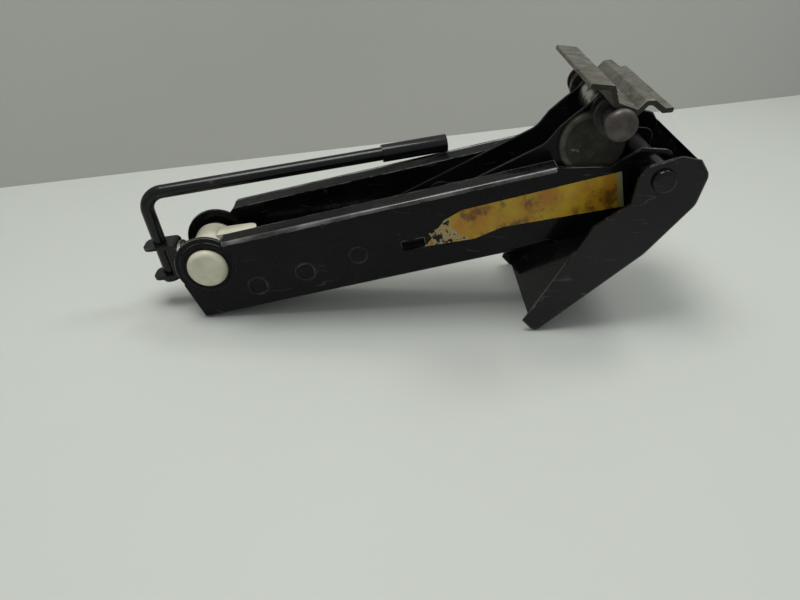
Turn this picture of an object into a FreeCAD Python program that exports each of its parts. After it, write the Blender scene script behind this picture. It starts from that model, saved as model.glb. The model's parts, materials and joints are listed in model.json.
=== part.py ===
import FreeCAD, Part
import math
import os
import Sketcher
from FreeCAD import Placement, Rotation, Vector

# A folded car jack with one long arm. Every piece is drawn in the frame of the pivot that it
# turns on, with +X towards the free end, then placed in the row frame at the end.

SIZES = {
    # how the jack lies: trunnion pivot above the ground, and the arm's slope
    "stand_reach": 148.38, "stand_rise": 45.92, "arm_pitch": 12.9,
    # base arm: an open channel with flanges turned outward
    "gauge": 2.5, "base_half": 23.9, "base_drop": 43.0, "flange_rise": 22.0,
    "flange_half": 36.4, "flange_start": 20.0, "flange_end": 261.0, "heel": 17.2,
    "web_end": 288.0, "ear_radius": 24.3, "slot_reach": 152.5, "slot_drop": 18.0,
    # pivots in the base arm's frame
    "foot_reach": 326.0, "foot_rise": 3.0, "head_reach": 300.0, "head_rise": 48.0,
    "link_reach": 180.0, "link_length": 125.0, "half_opening": 5.0,
    # lifting arm, nested in the base arm
    "lift_half": 18.2, "lift_ear": 15.0, "head_ear": 11.5, "cheek_outer": 20.6,
    # foot channel
    "foot_half": 50.0, "toe_reach": 99.0, "toe_drop": 104.66, "foot_pin": 6.0,
    # screw and trunnion
    "screw_radius": 6.0, "screw_length": 316.0, "screw_tail": 26.0,
    "journal": 9.0, "barrel": 10.0, "cover": 16.5, "barrel_half": 15.3,
    # links and pins
    "link_pin": 5.0, "upper_half": 15.2, "lower_half": 12.5, "link_gauge": 2.3,
    "eye_radius": 9.0, "nut_radius": 9.0, "nut_bore": 7.0, "nut_half": 9.9, "nut_journal": 6.0,
    # head
    "head_pin": 8.0, "claw_half": 48.0, "claw_gauge": 3.5, "claw_tilt": 32.0,
    # crank
    "crank_offset": 38.0, "crank_rod": 5.0, "crank_throw": 54.0, "crank_swing": 9.0,
    "crank_dip": 2.0, "crank_length": 218.0, "grip_radius": 6.6, "grip_length": 50.0,
    "clevis_rise": 14.0, "clevis_half": 9.0,
    "running_gap": 0.06,
}

doc = FreeCAD.newDocument("jack")
sheet = doc.addObject("Spreadsheet::Sheet", "dims")
for row, (alias, value) in enumerate(SIZES.items(), start=1):
    sheet.set(f"A{row}", alias)
    sheet.set(f"B{row}", str(value))
    sheet.setAlias(f"B{row}", alias)
doc.recompute()
nodes = []


# ---- drawing helpers ----------------------------------------------------------------

def number(text):
    """Value of an expression over the sheet's cells."""
    return float(sheet.evalExpression(text))


def side_sketch(body, name, setback="0"):
    """Sketch on the body's XZ plane, moved towards -Y by the setback."""
    plane = [f for f in body.Origin.OriginFeatures if f.Role == "XZ_Plane"][0]
    sketch = body.newObject("Sketcher::SketchObject", name)
    sketch.AttachmentSupport = [(plane, "")]
    sketch.MapMode = "FlatFace"
    sketch.setExpression("AttachmentOffset.Base.z", setback)
    return sketch


def pin_point(sketch, geometry, corner, x_text, z_text):
    """Hold one point of a sketch at two expressions from its origin."""
    for kind, text in (("DistanceX", x_text), ("DistanceY", z_text)):
        rule = Sketcher.Constraint(kind, -1, 1, geometry, corner, number(text))
        index = sketch.addConstraint(rule)
        sketch.setExpression(f"Constraints[{index}]", text)


def outline(body, name, corners, setback="0"):
    """Closed polygon through corners, each a pair of expressions."""
    sketch = side_sketch(body, name, setback)
    points = [Vector(number(x), number(z), 0) for x, z in corners]
    last = len(points) - 1
    for index, point in enumerate(points):
        following = points[0] if index == last else points[index + 1]
        sketch.addGeometry(Part.LineSegment(point, following), False)
    for index in range(len(points)):
        after = 0 if index == last else index + 1
        sketch.addConstraint(Sketcher.Constraint("Coincident", index, 2, after, 1))
    for index, (x_text, z_text) in enumerate(corners):
        pin_point(sketch, index, 1, x_text, z_text)
    return sketch


def disc(body, name, x_text, z_text, radius, setback="0"):
    """Circle sketch."""
    sketch = side_sketch(body, name, setback)
    centre = Vector(number(x_text), number(z_text), 0)
    sketch.addGeometry(Part.Circle(centre, Vector(0, 0, 1), number(radius)), False)
    pin_point(sketch, 0, 3, x_text, z_text)
    index = sketch.addConstraint(Sketcher.Constraint("Radius", 0, number(radius)))
    sketch.setExpression(f"Constraints[{index}]", radius)
    return sketch


def feature(body, kind, name, sketch, length, symmetric=True):
    """Pad or Pocket of a side sketch, across the width unless told otherwise."""
    step = body.newObject("PartDesign::" + kind, name)
    step.Profile = sketch
    step.setExpression("Length", length)
    if symmetric:
        step.SideType = "Symmetric"
    body.Tip = step
    doc.recompute()
    return step


def soften(body, name, base, radius, wanted):
    """Fillet the edges of the base whose middle point satisfies wanted."""
    edges = []
    for index, edge in enumerate(base.Shape.Edges, start=1):
        middle = edge.valueAt((edge.FirstParameter + edge.LastParameter) / 2)
        if wanted(middle, edge):
            edges.append(f"Edge{index}")
    fillet = body.newObject("PartDesign::Fillet", name)
    fillet.Base = (base, edges)
    fillet.setExpression("Radius", radius)
    body.Tip = fillet
    doc.recompute()
    return fillet


def crosswise(edge):
    """True for an edge that runs along Y."""
    return abs(edge.tangentAt(edge.FirstParameter).y) > 0.99


def new_body(name):
    return doc.addObject("PartDesign::Body", name)


def rod(name, radius, start, length, x_text="0", z_text="0"):
    """Cylinder along -Y from the given start."""
    cylinder = doc.addObject("Part::Cylinder", name)
    cylinder.Placement = Placement(Vector(0, 0, 0), Rotation(Vector(1, 0, 0), 90))
    cylinder.setExpression("Radius", radius)
    cylinder.setExpression("Height", length)
    cylinder.setExpression("Placement.Base.x", x_text)
    cylinder.setExpression("Placement.Base.y", f"-({start})")
    cylinder.setExpression("Placement.Base.z", z_text)
    return cylinder


def spun(name, radius, start, length):
    """Cylinder along +X from the given start."""
    cylinder = doc.addObject("Part::Cylinder", name)
    cylinder.Placement = Placement(Vector(0, 0, 0), Rotation(Vector(0, 1, 0), 90))
    cylinder.setExpression("Radius", radius)
    cylinder.setExpression("Height", length)
    cylinder.setExpression("Placement.Base.x", start)
    return cylinder


def join(kind, name, *parts):
    """Boolean of two or more solids: Cut, Fuse or Compound."""
    if kind == "Cut":
        result = doc.addObject("Part::Cut", name)
        result.Base, result.Tool = parts
    elif kind == "Fuse":
        result = doc.addObject("Part::MultiFuse", name)
        result.Shapes = list(parts)
    else:
        result = doc.addObject("Part::Compound", name)
        result.Links = list(parts)
    doc.recompute()
    return result


def both_sides(name, near):
    """The near piece and its mirror image on the far side, as two solids."""
    far = doc.addObject("Part::Mirroring", name + "_mirror")
    far.Source = near
    far.Normal = Vector(0, 1, 0)
    return join("Compound", name, near, far)


def ring(name, outer, inner, start, length, x_text="0", z_text="0"):
    """Tube along Y."""
    wall = rod(name + "_wall", outer, start, length, x_text, z_text)
    hole = rod(name + "_hole", inner, f"{start} - 1", f"{length} + 2", x_text, z_text)
    return join("Cut", name, wall, hole)


def dome(name, radius, start, height, x_text="0", z_text="0"):
    """Rivet head: a cylinder with a rounded rim, standing out towards -Y."""
    head = rod(name + "_disc", radius, start, height, x_text, z_text)
    doc.recompute()
    rim = doc.addObject("Part::Fillet", name)
    rim.Base = head
    far_edge = min(range(len(head.Shape.Edges)), key=lambda i: head.Shape.Edges[i].CenterOfMass.y)
    rounding = number(height) * 0.85
    rim.Edges = [(far_edge + 1, rounding, rounding)]
    doc.recompute()
    return rim


def place(piece, label, frame):
    """Name a finished piece and put it where it belongs."""
    piece.Label = label
    piece.Placement = frame
    nodes.append(piece)


def turned(x, z, angle):
    """Placement at a point of the XZ plane, dipped by an angle in degrees."""
    return Placement(Vector(x, 0, z), Rotation(Vector(0, 1, 0), angle))


# ---- where each frame lies -----------------------------------------------------------

arm_frame = turned(-SIZES["stand_reach"], SIZES["stand_rise"], -SIZES["arm_pitch"])
screw_frame = arm_frame * turned(0, 0, SIZES["half_opening"])
foot_frame = arm_frame * turned(SIZES["foot_reach"], SIZES["foot_rise"], 0)
head_frame = arm_frame * turned(SIZES["head_reach"], SIZES["head_rise"], SIZES["claw_tilt"])
opening = math.radians(SIZES["half_opening"])
rise = SIZES["link_reach"] * math.sin(opening)
link_angle = math.degrees(math.asin(rise / SIZES["link_length"]))
nut_reach = SIZES["link_reach"] * math.cos(opening)
nut_reach += math.sqrt(SIZES["link_length"] ** 2 - rise ** 2)
nut_frame = screw_frame * turned(nut_reach, 0, 0)
lower_turn = turned(0, 0, 2 * SIZES["half_opening"])
lower_pivot = arm_frame * lower_turn * turned(SIZES["link_reach"], 0, 0)
lower_frame = lower_pivot * turned(0, 0, -SIZES["half_opening"] - link_angle)
upper_frame = arm_frame * turned(SIZES["link_reach"], 0, SIZES["half_opening"] + link_angle)
crank_frame = screw_frame * Placement(
    Vector(-SIZES["crank_offset"], 0, 0), Rotation(Vector(0, 0, 1), SIZES["crank_swing"]))


# ---- base arm and what is fixed to it --------------------------------------------------

LOWER_X = "dims.link_reach * cos(2 * dims.half_opening * 1deg)"
LOWER_Z = "-dims.link_reach * sin(2 * dims.half_opening * 1deg)"


def base_arm():
    """Long channel: ear at the trunnion, outward flanges, open end at the foot pivot."""
    body = new_body("base_arm")
    side = outline(body, "base_side", [
        ("-dims.heel", "-dims.base_drop"), ("dims.web_end", "-dims.base_drop"),
        ("dims.web_end + 50", "-14"), ("dims.foot_reach + 18", "10"),
        ("dims.foot_reach - 4", "17"), ("dims.web_end + 10", "9"),
        ("dims.flange_end", "17"), ("dims.flange_end", "dims.flange_rise"),
        ("dims.flange_start", "dims.flange_rise"), ("14", "17"),
        ("-18", "10"), ("-dims.heel - 5.7", "-11.4")])
    slab = feature(body, "Pad", "base_slab", side, "2 * dims.base_half")
    slab = soften(body, "base_corners", slab, "7", lambda p, e: crosswise(e) and p.x > 330)
    slab = soften(body, "base_toe", slab, "12", lambda p, e: (
        crosswise(e) and abs(p.x - SIZES["web_end"]) < 1 and p.z < -40))
    soften(body, "base_bends", slab, "4", lambda p, e: (
        abs(p.z + SIZES["base_drop"]) < 0.01 and not crosswise(e)))
    ear = disc(body, "base_ear_outline", "0", "0", "dims.ear_radius")
    feature(body, "Pad", "base_ear", ear, "2 * dims.base_half")
    flange = outline(body, "base_flange_outline", [
        ("dims.flange_start", "dims.flange_rise - dims.gauge"),
        ("dims.flange_end", "dims.flange_rise - dims.gauge"),
        ("dims.flange_end", "dims.flange_rise"), ("dims.flange_start", "dims.flange_rise")])
    flanges = feature(body, "Pad", "base_flange", flange, "2 * dims.flange_half")
    soften(body, "base_flange_corners", flanges, "3", lambda p, e: (
        abs(abs(p.y) - SIZES["flange_half"]) < 0.01 and abs(e.Length - SIZES["gauge"]) < 0.01))
    inside = outline(body, "base_inside", [
        ("-70", "dims.gauge - dims.base_drop"), ("dims.foot_reach + 60", "dims.gauge - dims.base_drop"),
        ("dims.foot_reach + 60", "70"), ("-70", "70")])
    feature(body, "Pocket", "base_hollow", inside, "2 * (dims.base_half - dims.gauge)")
    for name, x_text, z_text, radius in (
            ("trunnion", "0", "0", "dims.journal + dims.running_gap"),
            ("foot", "dims.foot_reach", "dims.foot_rise", "dims.foot_pin"),
            ("link", LOWER_X, LOWER_Z, "dims.link_pin")):
        hole = disc(body, f"base_{name}_outline", x_text, z_text, radius)
        feature(body, "Pocket", f"base_{name}_hole", hole, "4 * dims.base_half")
    slot = outline(body, "base_slot_outline", [
        (f"dims.slot_reach {a} 8.5", f"-dims.slot_drop {b} 4")
        for a, b in (("-", "-"), ("+", "-"), ("+", "+"), ("-", "+"))], "dims.lift_half + 2")
    feature(body, "Pocket", "base_slot", slot, "10", False).Reversed = True
    for index, (x_text, z_text) in enumerate((("30.8", "-24.7"), ("69.1", "-21.3"))):
        dimple = disc(body, f"base_dimple_outline{index}", x_text, z_text, "6.5",
                      "dims.base_half")
        feature(body, "Pocket", f"base_dimple{index}", dimple, "0.9", False)
    doc.recompute()
    place(body, "base_arm", arm_frame)


def base_label():
    """Sticker on the near wall, torn at its left end."""
    body = new_body("base_label")
    edge = outline(body, "label_outline", [
        ("160", "-21.5"), ("197", "-24"), ("218", "-19.5"), ("306", "-24"), ("306", "3.5"),
        ("192", "1"), ("178", "-4"), ("173", "-9"), ("165", "-12"), ("167", "-16")],
        "dims.base_half")
    feature(body, "Pad", "label_sheet", edge, "0.35", False)
    place(body, "base_label", arm_frame)


def foot_pivot_parts():
    """Pin with domed ends, the sleeve between the walls and the outer spacers."""
    overhang = "dims.foot_half + 0.4"
    shank = rod("foot_pin_shank", "dims.foot_pin", f"-({overhang})", f"2 * ({overhang})")
    domes = both_sides("foot_pin_domes", dome("foot_pin_dome", "8.5", overhang, "3.5"))
    place(join("Fuse", "foot_pin", shank, domes), "foot_pin", foot_frame)
    sleeve = ring("foot_pin_sleeve", "8", "dims.foot_pin + 0.03", "-21.1", "42.2")
    place(sleeve, "foot_pin_sleeve", foot_frame)
    near = ring("foot_spacer", "9", "dims.foot_pin + 0.03", "dims.base_half + 0.05",
                "dims.foot_half - dims.gauge - dims.base_half - 0.4")
    place(both_sides("foot_spacers", near), "foot_spacers", foot_frame)


def lower_link_pin():
    """Pin riveted flush into the walls, with spacers that centre the lower link."""
    pin = rod("lower_pin_shank", "dims.link_pin", "-dims.base_half", "2 * dims.base_half")
    place(join("Compound", "lower_link_pin", pin), "lower_link_pin", lower_pivot)
    near = ring("lower_link_spacer", "7.5", "dims.link_pin + 0.03", "dims.lower_half + 0.3",
                "dims.base_half - dims.gauge - dims.lower_half - 0.35")
    place(both_sides("lower_link_spacers", near), "lower_link_spacers", lower_pivot)


# ---- foot ------------------------------------------------------------------------------

def foot_shell():
    """Wide pressed channel: sole, rear facet and two side walls."""
    body = new_body("foot_shell")
    side = outline(body, "foot_side", [
        ("-dims.toe_reach", "-dims.toe_drop"), ("-14", "-55.2"), ("22", "-24.5"),
        ("31", "-4"), ("26", "8"), ("13", "14"), ("-14", "12"), ("-22", "-12"), ("-48", "-24"),
        ("-dims.toe_reach - 7.5", "-dims.toe_drop + 13")])
    slab = feature(body, "Pad", "foot_slab", side, "2 * dims.foot_half")
    for name, x_high, z_high, radius in (
            ("foot_knee", -14, -55.2, "24"), ("foot_heel", 22, -24.5, "12"),
            ("foot_tip", 31, -4, "8"), ("foot_lip", 13, 14, "9"), ("foot_brow", -14, 12, "9"),
            ("foot_toe", -99, -SIZES["toe_drop"], "6")):
        slab = soften(body, name, slab, radius, lambda p, e: (
            crosswise(e) and abs(p.x - x_high) < 0.6 and abs(p.z - z_high) < 0.6))
    sole = -SIZES["toe_drop"]
    slab = soften(body, "foot_bends", slab, "3.5", lambda p, e: (
        abs(abs(p.y) - SIZES["foot_half"]) < 0.01 and not crosswise(e)
        and p.z < -3 and p.z < 0.55 * (p.x + 99) + sole + 8))
    inside = outline(body, "foot_inside", [
        ("-160", "-dims.toe_drop - 32.5"), ("-16.4", "-53.6"), ("19.4", "-23"), ("28.4", "-3"), ("28.4", "60"),
        ("-160", "60")])
    hollow = feature(body, "Pocket", "foot_hollow", inside, "2 * (dims.foot_half - dims.gauge)")
    for name, x_high, z_high, radius in (("foot_inner_knee", -16.4, -53.6, "21"),
                                         ("foot_inner_heel", 19.4, -23, "9")):
        hollow = soften(body, name, hollow, radius, lambda p, e: (
            crosswise(e) and abs(p.x - x_high) < 0.6 and abs(p.z - z_high) < 0.6))
    hole = disc(body, "foot_hole_outline", "0", "0", "dims.foot_pin + dims.running_gap")
    feature(body, "Pocket", "foot_hole", hole, "4 * dims.foot_half")
    place(body, "foot_shell", foot_frame)


# ---- lifting arm -------------------------------------------------------------------------

def lifting_arm():
    """Inner arm: two walls joined by a web along the raised neck."""
    body = new_body("lifting_arm")
    side = outline(body, "lift_side", [
        ("-6", "-12"), ("40", "-20"), ("175", "-20"), ("235", "-9"), ("308", "30"),
        ("294", "57"), ("280", "50"), ("268", "43"), ("257.5", "33.5"), ("156.6", "6.5"),
        ("105", "-6"), ("28", "-6"), ("12", "4"), ("2", "6")])
    slab = feature(body, "Pad", "lift_slab", side, "2 * dims.lift_half")
    soften(body, "lift_neck", slab, "18", lambda p, e: crosswise(e) and abs(p.x - 257.5) < 0.5)
    for name, x_text, z_text, radius in (
            ("tail", "0", "0", "dims.lift_ear"),
            ("nose", "dims.head_reach", "dims.head_rise", "dims.head_ear")):
        ear = disc(body, f"lift_{name}_outline", x_text, z_text, radius)
        feature(body, "Pad", f"lift_{name}", ear, "2 * dims.lift_half")
    inside = outline(body, "lift_inside", [
        ("-60", "-60"), ("250", "-60"), ("250", "1.8"), ("296", "26.4"), ("296", "-60"),
        ("360", "-60"), ("360", "120"), ("-60", "120")])
    feature(body, "Pocket", "lift_hollow", inside, "2 * (dims.lift_half - dims.gauge)")
    for name, x_text, z_text, radius in (
            ("trunnion", "0", "0", "dims.journal + dims.running_gap"),
            ("link", "dims.link_reach", "0", "dims.link_pin"),
            ("head", "dims.head_reach", "dims.head_rise", "dims.head_pin + dims.running_gap")):
        hole = disc(body, f"lift_{name}_outline2", x_text, z_text, radius)
        feature(body, "Pocket", f"lift_{name}_hole", hole, "4 * dims.lift_half")
    place(body, "lifting_arm", arm_frame)


def head_cheeks():
    """Zinc plates welded outside the lifting arm's nose."""
    thick = "dims.cheek_outer - dims.lift_half - 0.02"
    wide = rod("cheek_wide", "23", "dims.lift_half + 0.02", thick,
               "dims.head_reach - 12", "dims.head_rise - 21")
    high = rod("cheek_high", "dims.head_ear", "dims.lift_half + 0.02", thick,
               "dims.head_reach", "dims.head_rise")
    blank = join("Fuse", "cheek_blank", wide, high)
    bore = rod("cheek_bore", "dims.head_pin + dims.running_gap", "dims.lift_half - 1", "6",
               "dims.head_reach", "dims.head_rise")
    near = join("Cut", "cheek_near", blank, bore)
    place(both_sides("head_cheeks", near), "head_cheeks", arm_frame)


def lifting_arm_fittings():
    """Sleeve that holds the walls apart at the head, and the upper link's pin."""
    sleeve = ring("head_sleeve", "11", "dims.head_pin + dims.running_gap",
                  "0.05 - dims.lift_half + dims.gauge",
                  "2 * (dims.lift_half - dims.gauge) - 0.1")
    head_pivot = arm_frame * turned(SIZES["head_reach"], SIZES["head_rise"], 0)
    place(sleeve, "head_sleeve", head_pivot)
    shank = rod("upper_pin_shank", "dims.link_pin", "-dims.lift_half", "2 * dims.lift_half")
    domes = both_sides("upper_pin_domes", dome("upper_pin_dome", "7.5", "dims.lift_half", "2.2"))
    link_pivot = arm_frame * turned(SIZES["link_reach"], 0, 0)
    place(join("Fuse", "upper_link_pin", shank, domes), "upper_link_pin", link_pivot)


# ---- links and nut -----------------------------------------------------------------------

def link(label, half, pivot_hole, nut_hole, web_low, frame):
    """Strut: two bars with round ends, joined by a web clear of the screw."""
    body = new_body(label)
    length = "dims.link_length"
    bar = outline(body, label + "_side", [
        ("0", "-8"), (length, "-8"), (length, "8"), ("0", "8")])
    feature(body, "Pad", label + "_bar", bar, f"2 * {half}")
    for name, x_text in (("root", "0"), ("end", length)):
        eye = disc(body, f"{label}_{name}_outline", x_text, "0", "dims.eye_radius")
        feature(body, "Pad", f"{label}_{name}_eye", eye, f"2 * {half}")
    inner = f"2 * ({half} - dims.link_gauge)"
    web_edge = ("-60", "5.6") if web_low == "8" else ("60", "-5.6")
    for name, start, finish in (("first", "-20", "30"), ("last", "92", f"{length} + 20")):
        gap = outline(body, f"{label}_{name}_outline", [
            (start, "-20"), (finish, "-20"), (finish, "20"), (start, "20")])
        feature(body, "Pocket", f"{label}_{name}_gap", gap, inner)
    low, high = sorted(web_edge, key=float)
    middle = outline(body, label + "_middle_outline", [
        ("29", low), ("93", low), ("93", high), ("29", high)])
    feature(body, "Pocket", label + "_middle_gap", middle, inner)
    for name, x_text, radius in (("pivot", "0", pivot_hole), ("nut", length, nut_hole)):
        hole = disc(body, f"{label}_{name}_outline", x_text, "0", radius)
        feature(body, "Pocket", f"{label}_{name}_hole", hole, f"4 * {half}")
    place(body, label, frame)


def trunnion_nut():
    """Round nut on its side, with a journal each way for the two links."""
    barrel = rod("nut_barrel", "dims.nut_radius", "-dims.nut_half", "2 * dims.nut_half")
    stub = rod("nut_stub", "dims.nut_journal", "-dims.upper_half", "2 * dims.upper_half")
    bore = spun("nut_hole", "dims.nut_bore", "-20", "40")
    blank = join("Fuse", "nut_blank", barrel, stub)
    place(join("Cut", "trunnion_nut", blank, bore), "trunnion_nut", nut_frame)


# ---- trunnion and screw -------------------------------------------------------------------

def trunnion_parts():
    """Steel cross block, its plastic cover, the washers and the end caps."""
    barrel = rod("block_barrel", "dims.barrel", "-dims.barrel_half", "2 * dims.barrel_half")
    journal = rod("block_journal", "dims.journal", "-26.4", "52.8")
    blank = join("Fuse", "block_blank", barrel, journal)
    bore = spun("block_bore", "dims.screw_radius + dims.running_gap", "-30", "60")
    place(join("Cut", "trunnion_block", blank, bore), "trunnion_block", screw_frame)

    shell = rod("cover_shell", "dims.cover", "-dims.barrel_half", "2 * dims.barrel_half")
    tongue = doc.addObject("Part::Box", "cover_tongue")
    tongue.Placement.Base = Vector(8, -6.5, 8.5)
    tongue.setExpression("Length", "23")
    tongue.setExpression("Width", "13")
    tongue.setExpression("Height", "8")
    tip = doc.addObject("Part::Cylinder", "cover_tip")
    tip.Placement.Base = Vector(31, 0, 8.5)
    tip.setExpression("Radius", "6.5")
    tip.setExpression("Height", "8")
    solid = join("Fuse", "cover_solid", shell, join("Fuse", "cover_finger", tongue, tip))
    core = rod("cover_core", "dims.barrel + 0.03", "-30", "60")
    way = spun("cover_way", "dims.screw_radius + 0.6", "-40", "100")
    hollow = join("Fuse", "cover_hollow", core, way)
    place(join("Cut", "trunnion_cover", solid, hollow), "trunnion_cover", screw_frame)

    washer = ring("trunnion_washer", "14", "dims.journal + 0.1", "18.6", "2.4")
    place(both_sides("trunnion_washers", washer), "trunnion_washers", screw_frame)
    disc_cap = dome("cap_dome", "15", "dims.base_half + 0.35", "4.8")
    socket = rod("cap_socket", "dims.journal + 0.03", "20", "6.43")
    cap = join("Cut", "trunnion_cap", disc_cap, socket)
    place(both_sides("trunnion_caps", cap), "trunnion_caps", screw_frame)


def screw_parts():
    """Lead screw, its thrust bearing and washer, and the stop collar at its end."""
    shank = spun("screw_shank", "dims.screw_radius", "-dims.screw_tail",
                 "dims.screw_tail + dims.screw_length")
    place(join("Compound", "lead_screw", shank), "lead_screw", screw_frame)
    for label, outer, inner, start, length in (
            ("thrust_bearing", "11.5", "dims.screw_radius + 0.03", "-22.1", "5.3"),
            ("thrust_washer", "12.5", "dims.screw_radius + 0.03", "-24.4", "2.2"),
            ("stop_collar", "8.5", "dims.screw_radius + 0.02", "dims.screw_length - 2.8", "2.8")):
        wall = spun(label + "_wall", outer, start, length)
        hole = spun(label + "_hole", inner, f"{start} - 1", f"{length} + 2")
        place(join("Cut", label, wall, hole), label, screw_frame)


def crank_clevis():
    """Fork on the screw's head that holds the crank's short leg."""
    body = new_body("crank_clevis")
    side = outline(body, "clevis_side", [
        ("-50", "-dims.clevis_rise"), ("-24.5", "-dims.clevis_rise"),
        ("-24.5", "dims.clevis_rise"), ("-50", "dims.clevis_rise")])
    slab = feature(body, "Pad", "clevis_slab", side, "2 * dims.clevis_half")
    slab = soften(body, "clevis_bends", slab, "3.5", lambda p, e: crosswise(e) and p.x > -25)
    soften(body, "clevis_tips", slab, "6", lambda p, e: (
        abs(p.x + 50) < 0.01 and abs(abs(p.y) - SIZES["clevis_half"]) < 0.01))
    gap = outline(body, "clevis_inside", [
        ("-60", "2.4 - dims.clevis_rise"), ("-32.6", "2.4 - dims.clevis_rise"),
        ("-32.6", "dims.clevis_rise - 2.4"), ("-60", "dims.clevis_rise - 2.4")])
    feature(body, "Pocket", "clevis_gap", gap, "4 * dims.clevis_half")
    for name, radius, axis, start in (("screw", "dims.screw_radius", "YZ_Plane", "-26"),
                                      ("leg", "dims.crank_rod + 0.08", "XY_Plane", "-20")):
        plane = [f for f in body.Origin.OriginFeatures if f.Role == axis][0]
        sketch = body.newObject("Sketcher::SketchObject", f"clevis_{name}_outline")
        sketch.AttachmentSupport = [(plane, "")]
        sketch.MapMode = "FlatFace"
        sketch.AttachmentOffset = Placement(Vector(0, 0, float(start)), Rotation())
        x_text = "-dims.crank_offset" if name == "leg" else "0"
        centre = Vector(number(x_text), 0, 0)
        sketch.addGeometry(Part.Circle(centre, Vector(0, 0, 1), number(radius)), False)
        pin_point(sketch, 0, 3, x_text, "0")
        index = sketch.addConstraint(Sketcher.Constraint("Radius", 0, number(radius)))
        sketch.setExpression(f"Constraints[{index}]", radius)
        step = feature(body, "Pocket", f"clevis_{name}_hole", sketch, "40", False)
        step.Reversed = True
        doc.recompute()
    place(body, "crank_clevis", screw_frame)


def crank_parts():
    """Bent rod with a hollow grip, held in the clevis by a peened washer."""
    body = new_body("crank_rod")
    path = side_sketch(body, "crank_path")
    bend = 15.0
    throw = SIZES["crank_throw"]
    dip = math.radians(SIZES["crank_dip"])
    reach = bend * math.tan((math.pi / 2 - dip) / 2)
    corner = Vector(0, throw, 0)
    along = Vector(math.cos(dip), -math.sin(dip), 0)
    top = corner - Vector(0, reach, 0)
    out = corner + along * reach
    centre = top + Vector(bend, 0, 0)
    mid = centre + ((corner - centre).normalize() * bend)
    tip = corner + along * SIZES["crank_length"]
    path.addGeometry(Part.LineSegment(Vector(0, -18.5, 0), top), False)
    path.addGeometry(Part.Arc(top, mid, out), False)
    path.addGeometry(Part.LineSegment(out, tip), False)
    plane = [f for f in body.Origin.OriginFeatures if f.Role == "XY_Plane"][0]
    section = body.newObject("Sketcher::SketchObject", "crank_section")
    section.AttachmentSupport = [(plane, "")]
    section.MapMode = "FlatFace"
    section.AttachmentOffset = Placement(Vector(0, 0, -18.5), Rotation())
    section.addGeometry(Part.Circle(Vector(0, 0, 0), Vector(0, 0, 1), SIZES["crank_rod"]), False)
    index = section.addConstraint(Sketcher.Constraint("Radius", 0, SIZES["crank_rod"]))
    section.setExpression(f"Constraints[{index}]", "dims.crank_rod")
    pipe = body.newObject("PartDesign::AdditivePipe", "crank_pipe")
    pipe.Profile = section
    pipe.Spine = path
    body.Tip = pipe
    doc.recompute()
    place(body, "crank_rod", crank_frame)

    start = "dims.crank_length - dims.grip_length + 11"
    wall = spun("grip_wall", "dims.grip_radius", start, "dims.grip_length")
    hole = spun("grip_hole", "dims.crank_rod + 0.04", f"{start} - 1", "dims.grip_length + 2")
    grip_frame = crank_frame * turned(0, throw, SIZES["crank_dip"])
    place(join("Cut", "crank_grip", wall, hole), "crank_grip", grip_frame)

    wall = doc.addObject("Part::Cylinder", "peen_wall")
    hole = doc.addObject("Part::Cylinder", "peen_hole")
    for solid, radius, low, height in ((wall, "7", "-17.6", "2.2"),
                                       (hole, "dims.crank_rod + 0.03", "-19", "5")):
        solid.setExpression("Radius", radius)
        solid.setExpression("Height", height)
        solid.setExpression("Placement.Base.z", low)
    place(join("Cut", "crank_washer", wall, hole), "crank_washer", crank_frame)


# ---- head -----------------------------------------------------------------------------------

def claw_plate():
    """Pressed saddle: a groove along Y between two flared lips."""
    body = new_body("claw_plate")
    side = outline(body, "claw_side", [
        ("-29", "14"), ("-16.5", "17.3"), ("-9.8", "8.6"), ("7.6", "8.6"), ("11", "16.8"),
        ("13.5", "17.4"), ("21.5", "15"), ("27.5", "17.6"), ("27", "21"), ("22", "18.6"),
        ("13.5", "21"), ("8.6", "19"), ("5.6", "8.6 + dims.claw_gauge"),
        ("-7.8", "8.6 + dims.claw_gauge"), ("-14.8", "21"), ("-30", "17.4")])
    slab = feature(body, "Pad", "claw_slab", side, "2 * dims.claw_half")
    soften(body, "claw_rounding", slab, "1.1", lambda p, e: crosswise(e) and abs(p.x) > 4)
    window = disc(body, "claw_window_outline", "0", "0", "dims.head_ear + 1")
    feature(body, "Pocket", "claw_window", window, "2 * (dims.cheek_outer + 0.4)")
    place(body, "claw_plate", head_frame)


def claw_lugs():
    """Two plates under the saddle that sit on the pin."""
    eye = rod("lug_eye", "13", "30", "4")
    bridge = doc.addObject("Part::Box", "lug_bridge")
    bridge.Placement.Base = Vector(-9, -34, 0)
    bridge.setExpression("Length", "15.5")
    bridge.setExpression("Width", "4")
    bridge.setExpression("Height", "8.58")
    top = doc.addObject("Part::Box", "lug_top")
    top.Placement.Base = Vector(-20, -36, 8.58)
    top.setExpression("Length", "40")
    top.setExpression("Width", "8")
    top.setExpression("Height", "10")
    low = join("Cut", "lug_low", eye, top)
    blank = join("Fuse", "lug_blank", low, bridge)
    bore = rod("lug_bore", "dims.head_pin", "29", "6")
    near = join("Cut", "claw_lug", blank, bore)
    place(both_sides("claw_lugs", near), "claw_lugs", head_frame)


def head_pin():
    """Long pin with large domed ends outside the saddle."""
    overhang = "dims.claw_half + 0.5"
    shank = rod("head_pin_shank", "dims.head_pin", f"-({overhang})", f"2 * ({overhang})")
    domes = both_sides("head_pin_domes", dome("head_pin_dome", "10.8", overhang, "5"))
    place(join("Fuse", "head_pin", shank, domes), "head_pin", head_frame)


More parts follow.
